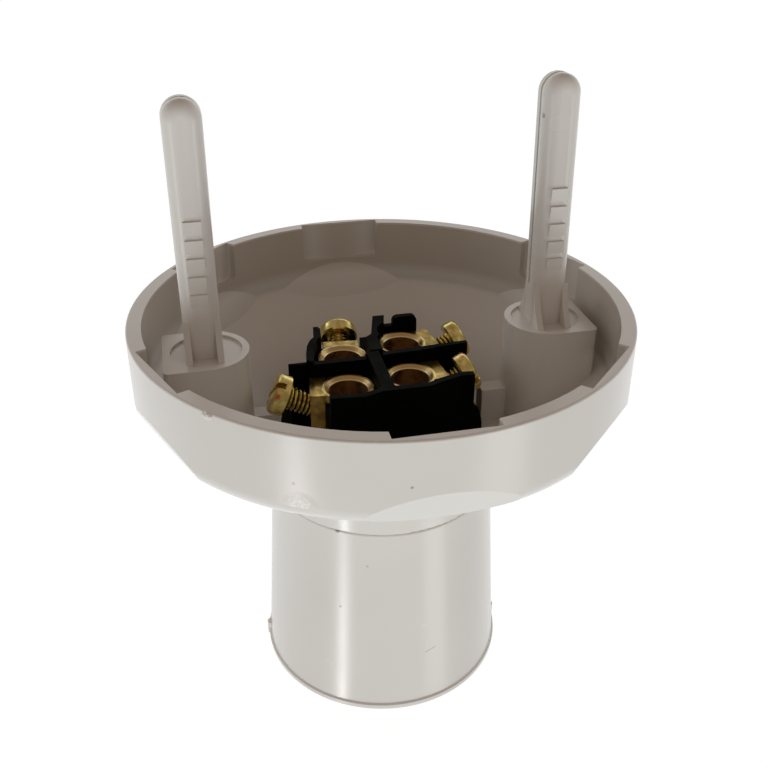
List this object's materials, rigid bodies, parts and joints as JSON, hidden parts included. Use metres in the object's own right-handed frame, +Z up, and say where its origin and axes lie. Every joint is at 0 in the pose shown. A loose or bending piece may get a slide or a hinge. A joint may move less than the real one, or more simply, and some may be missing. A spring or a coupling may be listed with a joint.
{
  "type": "batten lamp holder",
  "caption": "Round ceiling lamp holder: open base dish with break-off fixing plugs, clamp terminals on a black moulding, and a tapered barrel that shades a bayonet lamp socket.",
  "frame": {"origin": "centre of the barrel's mouth, at its lower edge", "axes": "+Z up to the ceiling side, X through the two fixing bosses, +Y away from the face of the plugs that carries the barbs"},
  "size_m": [0.081, 0.081, 0.104],
  "materials": {
    "white_plastic": "glossy moulded",
    "black_plastic": "moulded",
    "brass": "machined, slightly tarnished",
    "screw_brass": "turned, bright",
    "spring_steel": "drawn wire"
  },
  "bodies": {
    "base": {"base_dish": "white_plastic", "terminal_moulding": "black_plastic", "contact_cover": "black_plastic", "active_terminal": "brass", "neutral_terminal": "brass", "loop_terminal": "brass", "earth_terminal": "brass", "left_spring": "spring_steel", "right_spring": "spring_steel", "left_sleeve": "brass", "right_sleeve": "brass", "active_strap": "brass", "neutral_strap": "brass"},
    "skirt": {"barrel_skirt": "white_plastic"},
    "active_screw": {"active_screw": "screw_brass"},
    "neutral_screw": {"neutral_screw": "screw_brass"},
    "loop_screw": {"loop_screw": "screw_brass"},
    "earth_screw": {"earth_screw": "screw_brass"},
    "left_plunger": {"left_plunger": "brass"},
    "right_plunger": {"right_plunger": "brass"}
  },
  "joints": [
    {"name": "skirt_unscrew", "type": "slide", "parent": "base", "child": "skirt", "axis": [0, 0, -1], "range_m": [0, 0.009]},
    {"name": "active_screw_travel", "type": "slide", "parent": "base", "child": "active_screw", "axis": [-0.9057, 0.1192, 0.4067], "range_m": [-0.00256, 0.0008]},
    {"name": "neutral_screw_travel", "type": "slide", "parent": "base", "child": "neutral_screw", "axis": [0.9101, 0.0796, 0.4067], "range_m": [-0.00186, 0.0015]},
    {"name": "loop_screw_travel", "type": "slide", "parent": "base", "child": "loop_screw", "axis": [0.0955, 0.9085, 0.4067], "range_m": [-0.00266, 0.0007]},
    {"name": "earth_screw_travel", "type": "slide", "parent": "base", "child": "earth_screw", "axis": [0.9085, 0.0955, 0.4067], "range_m": [-0.00226, 0.0011]},
    {"name": "left_contact_press", "type": "slide", "parent": "base", "child": "left_plunger", "axis": [0, 0, 1], "range_m": [0, 0.004], "stiffness_N_per_m": 1000, "springref_m": -0.003, "deforming": ["left_spring"]},
    {"name": "right_contact_press", "type": "slide", "parent": "base", "child": "right_plunger", "axis": [0, 0, 1], "range_m": [0, 0.004], "stiffness_N_per_m": 1000, "springref_m": -0.003, "deforming": ["right_spring"]}
  ]
}
